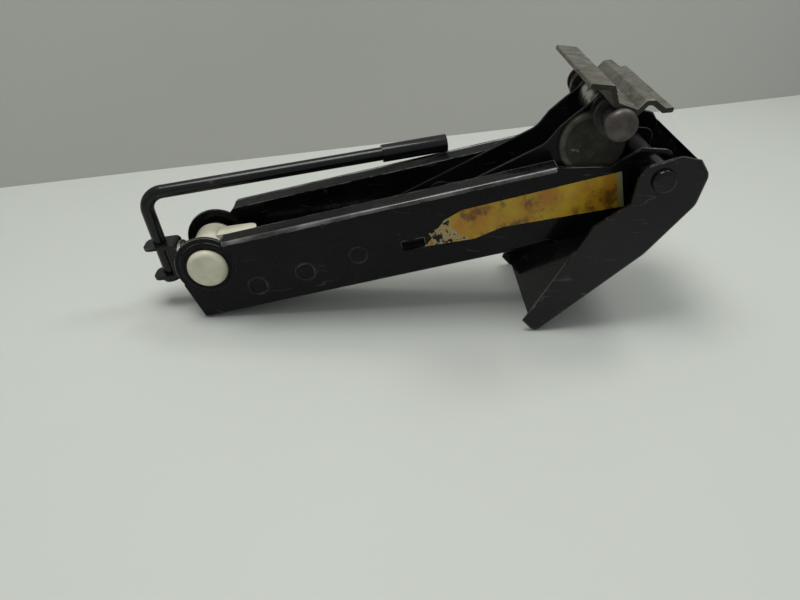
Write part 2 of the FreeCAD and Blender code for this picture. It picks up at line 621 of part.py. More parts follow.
base_arm()
base_label()
foot_pivot_parts()
lower_link_pin()
foot_shell()
lifting_arm()
head_cheeks()
lifting_arm_fittings()
link("lower_link", "dims.lower_half", "dims.link_pin + dims.running_gap",
     "dims.nut_journal + 2", "-8", lower_frame)
link("upper_link", "dims.upper_half", "dims.link_pin + dims.running_gap",
     "dims.nut_journal + dims.running_gap", "8", upper_frame)
trunnion_nut()
trunnion_parts()
screw_parts()
crank_clevis()
crank_parts()
claw_plate()
claw_lugs()
head_pin()
doc.recompute()

failed = [item.Name for item in doc.Objects if {"Invalid", "Error"} & set(item.State)]
if failed:
    raise RuntimeError(f"features failed: {failed}")
os.makedirs("parts", exist_ok=True)
for piece in nodes:
    shape = piece.Shape
    if shape.isNull() or not shape.isValid():
        raise RuntimeError(f"{piece.Label} has no valid shape")
    shape.exportStep(f"parts/{piece.Label}.step")
    box = shape.BoundBox
    print(f"{piece.Label:20s} solids {len(shape.Solids)} x {box.XMin:8.2f} {box.XMax:8.2f} "
          f"y {box.YMin:7.2f} {box.YMax:7.2f} z {box.ZMin:7.2f} {box.ZMax:7.2f}")
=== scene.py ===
# %% [markdown]
# # A folded car jack with one long arm
# The jack is a pressed steel channel with a second arm nested inside it, a wide hinged foot and
# a grooved saddle. The solids arrive ready made, each in its own place. What is left to do is
# what the solids can't carry: paint, plating, wear and dirt, and the small shapes that a press,
# a lathe or a welder leaves behind.

# %% Load the frame
import json
import math
import bmesh
import bpy
from mathutils import Matrix, Vector


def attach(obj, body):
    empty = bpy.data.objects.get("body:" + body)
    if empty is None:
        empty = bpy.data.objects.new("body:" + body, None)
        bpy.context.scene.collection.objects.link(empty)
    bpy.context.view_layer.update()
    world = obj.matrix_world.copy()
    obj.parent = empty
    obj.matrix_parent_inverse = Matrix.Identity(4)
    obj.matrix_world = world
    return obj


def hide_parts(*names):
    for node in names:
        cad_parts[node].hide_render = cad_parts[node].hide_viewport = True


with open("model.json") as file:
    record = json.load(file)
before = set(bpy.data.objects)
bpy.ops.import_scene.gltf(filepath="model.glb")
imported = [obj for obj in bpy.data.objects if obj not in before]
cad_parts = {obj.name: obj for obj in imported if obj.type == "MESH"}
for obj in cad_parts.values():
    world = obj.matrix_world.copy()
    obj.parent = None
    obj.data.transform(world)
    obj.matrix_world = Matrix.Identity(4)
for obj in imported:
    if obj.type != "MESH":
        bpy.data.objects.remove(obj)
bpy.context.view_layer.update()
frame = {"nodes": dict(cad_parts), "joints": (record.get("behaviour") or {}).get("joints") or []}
nodes = frame["nodes"]
MM = 0.001
print("solids loaded:", len(nodes))

# %% [markdown]
# Every pivot of the jack is known from its joints, so the new pieces are drawn in millimetres
# about a pivot, along the arm, and turned into place afterwards. The arm lies at a slope, which
# is found from the trunnion and the foot pivot: the foot pivot sits 3 mm above the arm's line.
# The screw and the saddle each lean by a fixed angle from the arm.

# %% Pivots and slopes
FOOT_REACH, FOOT_RISE = 326, 3
SCREW_LEAN, SADDLE_LEAN = 5, 32
pivots = {joint["name"]: Vector(joint["pos_m"]) for joint in frame["joints"]}
trunnion = pivots["arm_lift"]
foot_pivot = pivots["foot_tilt"]
head_pivot = pivots["head_tilt"]
run = foot_pivot - trunnion
arm_slope = math.atan2(run.z, run.x) - math.atan2(FOOT_RISE, FOOT_REACH)
screw_slope = arm_slope - math.radians(SCREW_LEAN)
saddle_slope = arm_slope - math.radians(SADDLE_LEAN)


def local_frame(pivot, slope):
    """Place of a piece drawn about a pivot, with X along a slope."""
    return Matrix.Translation(pivot) @ Matrix.Rotation(-slope, 4, "Y")


arm_place = local_frame(trunnion, arm_slope)
screw_place = local_frame(trunnion, screw_slope)
saddle_place = local_frame(head_pivot, saddle_slope)
print("arm slope:", round(math.degrees(arm_slope), 2))

# %% [markdown]
# The camera stands a little left of the middle and looks down at about a third of a right
# angle. A 31 mm lens is close to what a phone sees, and gives the same spread of near and far
# parts.

# %% Camera
camera_data = bpy.data.cameras.new("bench_camera")
camera_data.sensor_width = 36
camera_data.lens = 31.05
camera = bpy.data.objects.new("bench_camera", camera_data)
camera.location = (-0.0212, -0.4682, 0.3099)
camera.rotation_euler = (math.radians(56.3), 0, math.radians(-2.0))
bpy.context.scene.collection.objects.link(camera)
bpy.context.scene.camera = camera
bpy.context.scene.view_settings.view_transform = "Standard"

# %% [markdown]
# A node tree is quicker to read when a node is made and wired in one line. The helper takes
# the values of a node's inputs by name or number. A value that is another node's socket is
# linked, and anything else is set on the input itself.

# %% Node helper
def add_node(tree, kind, inputs=None, **settings):
    """Make a node, set its options, and link or set its inputs."""
    node = tree.nodes.new(kind)
    for name, value in settings.items():
        setattr(node, name, value)
    for key, value in (inputs or {}).items():
        if isinstance(value, bpy.types.NodeSocket):
            tree.links.new(value, node.inputs[key])
        else:
            node.inputs[key].default_value = value
    return node.outputs


def math_node(tree, operation, first, second=0.0, clamp=False):
    """Arithmetic on one or two values."""
    return add_node(tree, "ShaderNodeMath", {0: first, 1: second},
                    operation=operation, use_clamp=clamp)[0]


def step_between(tree, value, low, high):
    """0 below low, 1 above high, smooth in between."""
    return add_node(tree, "ShaderNodeMapRange", {"Value": value, "From Min": low,
                    "From Max": high}, interpolation_type="SMOOTHSTEP")[0]


def blend_colour(tree, factor, first, second):
    """Colour that goes from first to second as the factor grows."""
    return add_node(tree, "ShaderNodeMix", {0: factor, 6: first, 7: second},
                    data_type="RGBA")[2]


def noise(tree, coords, scale, detail=4.0, rough=0.55):
    """Cloudy pattern between 0 and 1."""
    return add_node(tree, "ShaderNodeTexNoise", {"Vector": coords, "Scale": scale,
                    "Detail": detail, "Roughness": rough})[0]

# %% [markdown]
# Wear, dust, scratches and grain show up on every material of the jack, each time in another
# strength. Such an effect is a node group: it is built once and placed in each material with
# its own numbers. A group starts from a list of its inputs and outputs.

# %% Group helper
def start_group(name, inputs, outputs):
    """Empty node group with named sockets; gives the tree and its input sockets."""
    tree = bpy.data.node_groups.new(name, "ShaderNodeTree")
    for label, value in inputs.items():
        socket = tree.interface.new_socket(label, in_out="INPUT", socket_type="NodeSocketFloat")
        socket.default_value = value
    for label, kind in outputs.items():
        tree.interface.new_socket(label, in_out="OUTPUT", socket_type="NodeSocket" + kind)
    return tree, tree.nodes.new("NodeGroupInput").outputs


def end_group(tree, results):
    """Wire the results to the group's outputs."""
    add_node(tree, "NodeGroupOutput", results)
    return tree


def place_group(tree, group, values):
    """Group node with its inputs set by name."""
    return add_node(tree, "ShaderNodeGroup", values, node_tree=group)

# %% [markdown]
# Sheet steel has no perfectly sharp edge: the shear and the paint both round it, and that thin
# rounding is what catches the light. The Bevel node bends the normals near an edge, and where
# the bent normal differs from the plain one there is an edge, so the same node also gives a
# mask for paint that is rubbed thin. On the black paint the rubbed colour is a light grey, so
# there the mask is partly wear and partly a painted highlight along the edges.

# %% Rounded and rubbed edges, partly a painted highlight
tree, given = start_group("edge_wear_and_sheen", {"Width": 0.0006, "Patches": 60.0, "Amount": 0.5},
                          {"Normal": "Vector", "Mask": "Float"})
coords = add_node(tree, "ShaderNodeTexCoord")["Object"]
bent = add_node(tree, "ShaderNodeBevel", {"Radius": given["Width"]}, samples=6)[0]
plain = add_node(tree, "ShaderNodeNewGeometry")["Normal"]
match = add_node(tree, "ShaderNodeVectorMath", {0: bent, 1: plain}, operation="DOT_PRODUCT")[1]
edge = step_between(tree, math_node(tree, "SUBTRACT", 1.0, match), 0.02, 0.16)
patch = noise(tree, coords, given["Patches"], 5.0, 0.65)
limit = math_node(tree, "SUBTRACT", 1.0, given["Amount"])
worn = step_between(tree, patch, math_node(tree, "SUBTRACT", limit, 0.08),
                    math_node(tree, "ADD", limit, 0.08))
edge_wear_and_sheen = end_group(tree, {"Normal": bent, "Mask": math_node(tree, "MULTIPLY", edge, worn)})

# %% [markdown]
# Dust lies on faces that look up and clings in small specks. The mask is the upward part of
# the piece's own normal times two noises: a broad one for drifts and a fine one for specks.

# %% Settled dust
tree, given = start_group("settled_dust", {"Specks": 900.0, "Amount": 0.5}, {"Mask": "Float"})
space = add_node(tree, "ShaderNodeTexCoord")
coords = space["Object"]
up = add_node(tree, "ShaderNodeSeparateXYZ", {0: space["Normal"]})["Z"]
facing = math_node(tree, "ADD", step_between(tree, up, 0.1, 0.95), 0.16)
drift = step_between(tree, noise(tree, coords, 38.0), 0.38, 0.66)
speck = step_between(tree, noise(tree, coords, given["Specks"], 2.0), 0.5, 0.68)
film = math_node(tree, "ADD", math_node(tree, "MULTIPLY", drift, 0.35), speck)
mask = math_node(tree, "MULTIPLY", math_node(tree, "MULTIPLY", facing, film), given["Amount"])
settled_dust = end_group(tree, {"Mask": math_node(tree, "MINIMUM", mask, 1.0)})

# %% [markdown]
# A scratch is a thin line that starts and stops. A noise stretched along one axis has long
# level curves; a narrow band around one level gives lines, and a second noise breaks them up.

# %% Scratches
tree, given = start_group("scratches", {"Scale": 50.0, "Width": 0.012, "Turn": 0.3},
                          {"Mask": "Float"})
coords = add_node(tree, "ShaderNodeTexCoord")["Object"]
turn = add_node(tree, "ShaderNodeCombineXYZ", {"X": 0.4, "Y": given["Turn"], "Z": 0.2})[0]
laid = add_node(tree, "ShaderNodeMapping", {"Vector": coords, "Rotation": turn,
                "Scale": (0.16, 1.0, 1.0)})[0]
level = noise(tree, laid, given["Scale"], 2.0, 0.4)
gap = math_node(tree, "ABSOLUTE", math_node(tree, "SUBTRACT", level, 0.5))
line = math_node(tree, "SUBTRACT", 1.0, step_between(tree, gap, 0.0, given["Width"]))
breaks = step_between(tree, noise(tree, coords, 70.0, 3.0), 0.52, 0.6)
scratches = end_group(tree, {"Mask": math_node(tree, "MULTIPLY", line, breaks)})

# %% [markdown]
# Dirt and grease gather where parts meet, and shade falls there too. Ambient occlusion measures
# how enclosed a point is, so this mask is painted shade as well as dirt, and a cloudy noise keeps
# it from following the corners too neatly.

# %% Painted shade and grime in the corners
tree, given = start_group("corner_shade_and_dirt", {"Reach": 0.006, "Amount": 0.6}, {"Mask": "Float"})
coords = add_node(tree, "ShaderNodeTexCoord")["Object"]
open_sky = add_node(tree, "ShaderNodeAmbientOcclusion", {"Distance": given["Reach"]},
                    samples=6)["AO"]
closed = step_between(tree, math_node(tree, "SUBTRACT", 1.0, open_sky), 0.1, 0.7)
cloud = step_between(tree, noise(tree, coords, 120.0, 5.0, 0.6), 0.3, 0.62)
mixed = math_node(tree, "MULTIPLY", closed, math_node(tree, "ADD", cloud, 0.35))
corner_shade_and_dirt = end_group(tree, {"Mask": math_node(tree, "MULTIPLY", mixed, given["Amount"],
                                                  clamp=True)})

# %% [markdown]
# Sprayed paint dries with a faint orange peel, and pressed steel keeps a fine grain. Both are
# small bumps of one size, so a single height group serves them.

# %% Surface grain
tree, given = start_group("grain", {"Scale": 700.0, "Waves": 160.0}, {"Height": "Float"})
coords = add_node(tree, "ShaderNodeTexCoord")["Object"]
fine = noise(tree, coords, given["Scale"], 3.0, 0.5)
broad = noise(tree, coords, given["Waves"], 1.0, 0.3)
grain = end_group(tree, {"Height": math_node(tree, "ADD", fine, broad)})

# %% [markdown]
# A material always starts the same way: an empty tree, a Principled shader and its output.
# Numbers that hold for the whole surface are set on the shader itself.

# %% Material helpers
def new_material(name, **constants):
    """Material with a Principled shader whose fixed values are given by name."""
    material = bpy.data.materials.new(name)
    material.use_nodes = True
    tree = material.node_tree
    tree.nodes.clear()
    shader = tree.nodes.new("ShaderNodeBsdfPrincipled")
    for label, value in constants.items():
        shader.inputs[label.replace("_", " ")].default_value = value
    add_node(tree, "ShaderNodeOutputMaterial", {"Surface": shader.outputs[0]})
    return material, tree, shader


def feed(tree, shader, **sockets):
    """Link patterns to the shader's inputs."""
    for label, socket in sockets.items():
        tree.links.new(socket, shader.inputs[label.replace("_", " ")])


def bump(tree, height, depth, strength, normal):
    """Small relief on top of a normal."""
    return add_node(tree, "ShaderNodeBump", {"Height": height, "Distance": depth,
                    "Strength": strength, "Normal": normal})[0]

# %% [markdown]
# The arms, foot and crank are dipped or sprayed in black enamel. It is glossy, but years in a
# car's boot leave a grey film, thin scratches and edges rubbed down to dark steel. The grey that
# the rubbed edges take is lighter than that steel: partly wear, partly a painted highlight.

# %% Black enamel
PAINT = (0.0020, 0.0022, 0.0025, 1)
PAINT_THIN = (0.0048, 0.0050, 0.0052, 1)
DUST = (0.075, 0.071, 0.064, 1)
# Light grey for rubbed edges and scratches: worn paint, and on the edges partly a painted
# highlight.
RUBBED_AND_HIGHLIGHT = (0.30, 0.30, 0.29, 1)
# Near black for enclosed corners: old grease and painted shade.
GREASE_AND_SHADE = (0.018, 0.014, 0.010, 1)


def black_enamel(name, dust, wear, dullness, shine=0.12, thin_paint_and_sheen=PAINT_THIN):
    """Black paint with a chosen share of dust, wear, dullness and clear shine, with a second tone
    in cloudy patches: thin paint, and on the hems a painted highlight.
    """
    material, tree, shader = new_material(name, Coat_Roughness=0.10, Specular_IOR_Level=0.09)
    coords = add_node(tree, "ShaderNodeTexCoord")["Object"]
    edges = place_group(tree, edge_wear_and_sheen, {"Width": 0.0011, "Patches": 45.0, "Amount": wear})
    dusty = place_group(tree, settled_dust, {"Specks": 1100.0, "Amount": dust})["Mask"]
    lines = place_group(tree, scratches, {"Scale": 55.0, "Width": 0.010, "Turn": 0.5})["Mask"]
    shade_and_dirt = place_group(tree, corner_shade_and_dirt, {"Reach": 0.005, "Amount": 0.35})["Mask"]
    relief = place_group(tree, grain, {"Scale": 900.0, "Waves": 260.0})["Height"]
    cloud = step_between(tree, noise(tree, coords, 26.0, 5.0), 0.35, 0.7)
    colour = blend_colour(tree, cloud, PAINT, thin_paint_and_sheen)
    colour = blend_colour(tree, math_node(tree, "MULTIPLY", dusty, 0.30), colour, DUST)
    colour = blend_colour(tree, math_node(tree, "MULTIPLY", lines, 0.10), colour, RUBBED_AND_HIGHLIGHT)
    # Edges take the light rubbed grey: partly wear, partly a painted highlight.
    colour = blend_colour(tree, edges["Mask"], colour, RUBBED_AND_HIGHLIGHT)
    # Enclosed corners go near black: painted shade mixed with old grease.
    colour = blend_colour(tree, shade_and_dirt, colour, GREASE_AND_SHADE)
    dull = math_node(tree, "ADD", math_node(tree, "MULTIPLY", cloud, 0.14), dullness)
    dull = math_node(tree, "ADD", dull, math_node(tree, "MULTIPLY", dusty, 0.4))
    dull = math_node(tree, "ADD", dull, math_node(tree, "MULTIPLY", lines, 0.2), clamp=True)
    coat = math_node(tree, "SUBTRACT", shine, math_node(tree, "MULTIPLY", dusty, 0.3),
                     clamp=True)
    feed(tree, shader, Base_Color=colour, Roughness=dull, Coat_Weight=coat,
         Normal=bump(tree, relief, 0.00006, 0.35, edges["Normal"]))
    return material


arm_paint = black_enamel("black_enamel_arm", dust=0.50, wear=0.50, dullness=0.22)
foot_paint = black_enamel("black_enamel_foot", dust=0.30, wear=0.40, dullness=0.14, shine=0.40)
crank_paint = black_enamel("black_enamel_crank", dust=0.35, wear=0.36, dullness=0.26, shine=0.45)
# The hems' second tone is a light grey: a painted highlight that strengthens the bright line
# along the flanges.
hem_paint_with_highlight = black_enamel("black_enamel_hems_highlight", dust=0.20, wear=0.70, dullness=0.12, shine=0.9,
                         thin_paint_and_sheen=(0.20, 0.20, 0.19, 1))
smooth_paint = black_enamel("black_enamel_smooth", dust=0.4, wear=0.0, dullness=0.24)
ring_paint = black_enamel("black_enamel_rings", dust=0.5, wear=0.95, dullness=0.30)
inner_paint = black_enamel("black_enamel_inside", dust=0.75, wear=0.30, dullness=0.34)

# %% [markdown]
# The saddle, its lugs, the cheeks and the head pin are zinc plated and passivated. Old zinc is
# a dull warm grey, with brown dirt and painted shade in its corners, a little rust, and lighter
# rims where the plating is polished by use.

# %% Aged zinc
RUST = (0.16, 0.075, 0.035, 1)
SCORED_ZINC = (0.5, 0.49, 0.45, 1)
# Brown for enclosed corners: dirt and painted shade.
BROWN_DIRT_AND_SHADE = (0.045, 0.036, 0.024, 1)
DARK_CUT_END = (0.020, 0.018, 0.014, 1)
POLISH = 2.2


def aged_zinc(name, base, shade, rust, rubbed, ends=0.0):
    """Dull plated steel with dirt and painted shade in its corners, rust bloom, polished edges
    and darker cut ends.
    """
    material, tree, shader = new_material(name, Metallic=0.55, IOR=1.5)
    coords = add_node(tree, "ShaderNodeTexCoord")["Object"]
    edges = place_group(tree, edge_wear_and_sheen, {"Width": 0.0009, "Patches": 70.0, "Amount": rubbed})
    shade_and_dirt = place_group(tree, corner_shade_and_dirt, {"Reach": 0.010, "Amount": 0.95})["Mask"]
    relief = place_group(tree, grain, {"Scale": 1500.0, "Waves": 420.0})["Height"]
    lines = place_group(tree, scratches, {"Scale": 80.0, "Width": 0.02, "Turn": 1.1})["Mask"]
    cloud = step_between(tree, noise(tree, coords, 95.0, 6.0, 0.65), 0.33, 0.68)
    bloom = step_between(tree, noise(tree, coords, 60.0, 6.0, 0.7), 0.60, 0.74)
    colour = blend_colour(tree, cloud, base, shade)
    colour = blend_colour(tree, math_node(tree, "MULTIPLY", bloom, rust), colour, RUST)
    colour = blend_colour(tree, math_node(tree, "MULTIPLY", lines, 0.3), colour,
                          SCORED_ZINC)
    # Enclosed corners turn dark brown: dirt and painted shade.
    colour = blend_colour(tree, shade_and_dirt, colour, BROWN_DIRT_AND_SHADE)
    polished = tuple(POLISH * part for part in base[:3]) + (1,)
    colour = blend_colour(tree, edges["Mask"], colour, polished)
    # Faces that look along Y, the cut ends, are painted darker.
    side = add_node(tree, "ShaderNodeTexCoord")["Normal"]
    side = add_node(tree, "ShaderNodeSeparateXYZ", {0: side})["Y"]
    cut = step_between(tree, math_node(tree, "ABSOLUTE", side), 0.80, 0.97)
    colour = blend_colour(tree, math_node(tree, "MULTIPLY", cut, ends), colour,
                          DARK_CUT_END)
    dull = math_node(tree, "ADD", math_node(tree, "MULTIPLY", cloud, 0.18), 0.42)
    dull = math_node(tree, "ADD", dull, math_node(tree, "MULTIPLY", shade_and_dirt, 0.3), clamp=True)
    feed(tree, shader, Base_Color=colour, Roughness=dull,
         Normal=bump(tree, relief, 0.00008, 0.5, edges["Normal"]))
    return material


saddle_zinc = aged_zinc("aged_zinc_saddle", base=(0.150, 0.147, 0.120, 1),
                        shade=(0.075, 0.072, 0.054, 1), rust=0.8, rubbed=0.6, ends=0.9)
# The cheeks, lugs, welds and head pin take the saddle's zinc painted far darker: painted shade
# for the parts under the saddle.
cheek_zinc_shaded = aged_zinc("aged_zinc_cheeks_shaded", base=(0.026, 0.0235, 0.018, 1),
                       shade=(0.014, 0.0125, 0.0095, 1), rust=0.3, rubbed=0.35)
rim_zinc = aged_zinc("aged_zinc_rim", base=(0.088, 0.082, 0.066, 1),
                     shade=(0.048, 0.043, 0.034, 1), rust=0.3, rubbed=0.5)
pin_zinc_shaded = aged_zinc("aged_zinc_pin_shaded", base=(0.105, 0.090, 0.080, 1),
                     shade=(0.055, 0.045, 0.039, 1), rust=0.5, rubbed=0.6)
lug_zinc_shaded = aged_zinc("aged_zinc_lugs_shaded", base=(0.045, 0.046, 0.042, 1),
                     shade=(0.020, 0.020, 0.018, 1), rust=0.3, rubbed=0.4)

# %% [markdown]
# Turned parts such as the screw, the nut and the washers are bare steel under grease. Steel is
# fully metallic, and the grease darkens it and evens out its shine in patches.

# %% Greased steel
greased_steel, tree, shader = new_material("greased_steel", Metallic=1.0)
coords = add_node(tree, "ShaderNodeTexCoord")["Object"]
edges = place_group(tree, edge_wear_and_sheen, {"Width": 0.0004, "Patches": 120.0, "Amount": 0.5})
relief = place_group(tree, grain, {"Scale": 2200.0, "Waves": 600.0})["Height"]
film = step_between(tree, noise(tree, coords, 130.0, 5.0, 0.6), 0.42, 0.62)
colour = blend_colour(tree, film, (0.46, 0.45, 0.43, 1), (0.13, 0.10, 0.06, 1))
colour = blend_colour(tree, edges["Mask"], colour, (0.62, 0.61, 0.59, 1))
dull = math_node(tree, "ADD", math_node(tree, "MULTIPLY", film, 0.18), 0.28)
feed(tree, shader, Base_Color=colour, Roughness=dull,
     Normal=bump(tree, relief, 0.00005, 0.4, edges["Normal"]))

# %% [markdown]
# The trunnion's caps and its cover are moulded nylon, cream when new. The caps are handled and
# knocked, so they have faint grey smears and brown specks, and dirt and painted shade sit where
# they meet the arm.

# %% Cream nylon
cream_nylon, tree, shader = new_material("cream_nylon", IOR=1.5)
coords = add_node(tree, "ShaderNodeTexCoord")["Object"]
edges = place_group(tree, edge_wear_and_sheen, {"Width": 0.0009, "Patches": 60.0, "Amount": 0.3})
shade_and_dirt = place_group(tree, corner_shade_and_dirt, {"Reach": 0.004, "Amount": 0.5})["Mask"]
relief = place_group(tree, grain, {"Scale": 1300.0, "Waves": 300.0})["Height"]
lines = place_group(tree, scratches, {"Scale": 90.0, "Width": 0.02, "Turn": 0.9})["Mask"]
cloud = step_between(tree, noise(tree, coords, 70.0, 5.0), 0.35, 0.7)
speck = step_between(tree, noise(tree, coords, 520.0, 3.0), 0.70, 0.76)
colour = blend_colour(tree, cloud, (0.62, 0.595, 0.465, 1), (0.50, 0.465, 0.345, 1))
colour = blend_colour(tree, math_node(tree, "MULTIPLY", lines, 0.25), colour,
                      (0.36, 0.32, 0.24, 1))
colour = blend_colour(tree, math_node(tree, "MULTIPLY", speck, 0.6), colour,
                      (0.22, 0.17, 0.11, 1))
# Where the caps meet the arm they turn brown: dirt and painted shade.
colour = blend_colour(tree, shade_and_dirt, colour, (0.22, 0.19, 0.13, 1))
dull = math_node(tree, "ADD", math_node(tree, "MULTIPLY", cloud, 0.12), 0.34)
feed(tree, shader, Base_Color=colour, Roughness=dull,
     Normal=bump(tree, relief, 0.00005, 0.3, edges["Normal"]))

# %% [markdown]
# The label is a printed film. Its yellow has gone orange and brown in patches, its left end is
# torn away in a ragged line down to pale paper and glue, and its right end has a pale border.
# The pattern is measured along the arm from the trunnion, so a Mapping node of the Texture type
# turns the coordinates back into the arm's own.

# %% Worn label film
LABEL_TORN, LABEL_WHOLE, LABEL_END = 0.158, 0.250, 0.306
BORDER_START, BORDER_FULL = LABEL_END - 0.0042, LABEL_END - 0.0036
worn_label, tree, shader = new_material("worn_label", IOR=1.45)
coords = add_node(tree, "ShaderNodeTexCoord")["Object"]
along = add_node(tree, "ShaderNodeMapping", {"Vector": coords, "Location": trunnion,
                 "Rotation": (0, -arm_slope, 0)}, vector_type="TEXTURE")[0]
split = add_node(tree, "ShaderNodeSeparateXYZ", {0: along})
reach = split["X"]
rough_edge = noise(tree, along, 62.0, 6.0, 0.62)
tear = step_between(tree, reach, LABEL_TORN, LABEL_WHOLE)
tear = math_node(tree, "ADD", rough_edge, math_node(tree, "MULTIPLY", tear, 0.42))
stuck = step_between(tree, tear, 0.475, 0.49)
flakes = math_node(tree, "MULTIPLY", noise(tree, along, 210.0, 5.0), 0.28)
printed = step_between(tree, math_node(tree, "ADD", tear, flakes), 0.64, 0.69)
sun = step_between(tree, noise(tree, along, 42.0, 4.0), 0.36, 0.66)
stain = step_between(tree, noise(tree, along, 62.0, 5.0, 0.66), 0.52, 0.66)
rub = step_between(tree, noise(tree, along, 240.0, 5.0, 0.7), 0.60, 0.70)
film = blend_colour(tree, sun, (0.47, 0.31, 0.012, 1), (0.40, 0.17, 0.008, 1))
film = blend_colour(tree, math_node(tree, "MULTIPLY", stain, 0.75), film,
                    (0.060, 0.030, 0.008, 1))
film = blend_colour(tree, math_node(tree, "MULTIPLY", rub, 0.35), film, (0.45, 0.36, 0.14, 1))
border = step_between(tree, reach, BORDER_START, BORDER_FULL)
film = blend_colour(tree, border, film, (0.26, 0.25, 0.11, 1))
paper = blend_colour(tree, stain, (0.36, 0.31, 0.18, 1), (0.10, 0.055, 0.02, 1))
colour = blend_colour(tree, printed, paper, film)
dull = math_node(tree, "SUBTRACT", 0.62, math_node(tree, "MULTIPLY", printed, 0.22))
relief = math_node(tree, "ADD", printed, math_node(tree, "MULTIPLY", rough_edge, 0.6))
normal = add_node(tree, "ShaderNodeNewGeometry")["Normal"]
feed(tree, shader, Base_Color=colour, Roughness=dull, Alpha=stuck,
     Normal=bump(tree, relief, 0.0002, 0.5, normal))
print("materials:", len(bpy.data.materials))

# %% [markdown]
# A carried-over solid keeps its mesh and takes a finish through its material slot. The table
# below says which finish each one has on the real jack.

# %% Finish of each solid
finishes = {
    arm_paint: ("base_arm",),
    smooth_paint: ("lower_link_pin",),
    foot_paint: ("foot_shell", "foot_pin", "foot_spacers"),
    crank_paint: ("crank_clevis", "crank_rod", "crank_grip", "crank_washer"),
    inner_paint: ("lifting_arm", "lower_link", "upper_link", "foot_pin_sleeve"),
    saddle_zinc: ("claw_plate",),
    lug_zinc_shaded: ("claw_lugs",),
    cheek_zinc_shaded: ("head_cheeks",),
    pin_zinc_shaded: ("head_pin",),
    cream_nylon: ("trunnion_caps", "trunnion_cover"),
    worn_label: ("base_label",),
    greased_steel: ("lower_link_spacers", "head_sleeve", "upper_link_pin", "trunnion_nut",
                    "trunnion_block", "trunnion_washers", "thrust_washer", "stop_collar"),
}
for finish, members in finishes.items():
    for label in members:
        nodes[label].data.materials.clear()
        nodes[label].data.materials.append(finish)

# %% [markdown]
# New pieces go through one function: it turns the drawn shape from millimetres into place,
# makes its faces look outwards, shades it smooth except at real corners, and lets it ride on
# its body.

# %% Finishing a new piece
def finish_piece(bm, label, place, body, finish, corner=35):
    """Turn a shape drawn in millimetres into an object that rides on a body."""
    bmesh.ops.transform(bm, matrix=place @ Matrix.Scale(MM, 4), verts=bm.verts)
    bmesh.ops.remove_doubles(bm, verts=bm.verts, dist=1e-6)
    bmesh.ops.recalc_face_normals(bm, faces=bm.faces)
    for face in bm.faces:
        face.smooth = True
    for edge in bm.edges:
        edge.smooth = edge.calc_face_angle(0.0) < math.radians(corner)
    mesh = bpy.data.meshes.new(label)
    bm.to_mesh(mesh)
    bm.free()
    mesh.materials.append(finish)
    piece = bpy.data.objects.new(label, mesh)
    bpy.context.scene.collection.objects.link(piece)
    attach(piece, body)
    print(label, "faces:", len(mesh.polygons))
    return piece


def profile(bm, points, closed=True):
    """Chain of edges through points, as the section that a spin sweeps."""
    corners = [bm.verts.new(point) for point in points]
    pairs = list(zip(corners, corners[1:]))
    if closed:
        pairs.append((corners[-1], corners[0]))
    return corners + [bm.edges.new(pair) for pair in pairs]


def cap_open_ends(bm):
    """Close every open loop with a flat face."""
    bmesh.ops.holes_fill(bm, edges=[edge for edge in bm.edges if edge.is_boundary])


def repeat_on_far_side(bm):
    """Mirror the near side's shape to the far side."""
    bmesh.ops.mirror(bm, geom=bm.verts[:] + bm.edges[:] + bm.faces[:], axis="Y",
                     merge_dist=0.0001)


def round_bar(bm, start, end, radius, segments, side=0, rise=0):
    """Capped round bar that runs along X from start to end."""
    middle = Matrix.Translation(((start + end) / 2, side, rise))
    bmesh.ops.create_cone(bm, cap_ends=True, segments=segments, radius1=radius, radius2=radius,
                          depth=end - start, matrix=middle @ Matrix.Rotation(math.pi / 2, 4, "Y"))

# %% [markdown]
# The lead screw has a trapezoid thread with a pitch of 3 mm. One tooth's outline, spun around
# the axis while it slides along by one pitch a turn, winds the whole thread. It is started too
# long, cut square at both ends and capped, and the plain shank runs on to the crank's clevis.

# %% Threaded lead screw
CREST, ROOT, PITCH, STEPS = 6.0, 4.7, 3.0, 20
FLANK_UP, CREST_START, CREST_END = 0.7, 1.2, 2.4
THREAD_START, THREAD_END, SHANK_START, SHANK_LAP = 14.0, 315.9, -26.0, 0.5
SPARE_TURNS = 3
turns = math.ceil((THREAD_END - THREAD_START) / PITCH) + SPARE_TURNS
bm = bmesh.new()
first = THREAD_START - SPARE_TURNS / 2 * PITCH
tooth = profile(bm, [(first, 0, ROOT), (first + FLANK_UP, 0, ROOT),
                     (first + CREST_START, 0, CREST), (first + CREST_END, 0, CREST),
                     (first + PITCH, 0, ROOT)], closed=False)
bmesh.ops.spin(bm, geom=tooth, cent=(0, 0, 0), axis=(1, 0, 0), dvec=(PITCH / STEPS, 0, 0),
               angle=2 * math.pi * turns, steps=STEPS * turns, use_duplicate=False)
bmesh.ops.remove_doubles(bm, verts=bm.verts, dist=0.001)
for end, side in ((THREAD_START, -1), (THREAD_END, 1)):
    bmesh.ops.bisect_plane(bm, geom=bm.verts[:] + bm.edges[:] + bm.faces[:], dist=1e-4,
                           plane_co=(end, 0, 0), plane_no=(side, 0, 0), clear_outer=True)
cap_open_ends(bm)
round_bar(bm, SHANK_START, THREAD_START + SHANK_LAP, CREST, segments=40)
screw = finish_piece(bm, "threaded_lead_screw", screw_place, "screw", greased_steel,
                     30)
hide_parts("lead_screw")

# %% [markdown]
# Behind the trunnion, a ball thrust bearing takes the whole load. It is two hardened races with
# a row of balls between them, all inside the ring that stands for it in the solids.

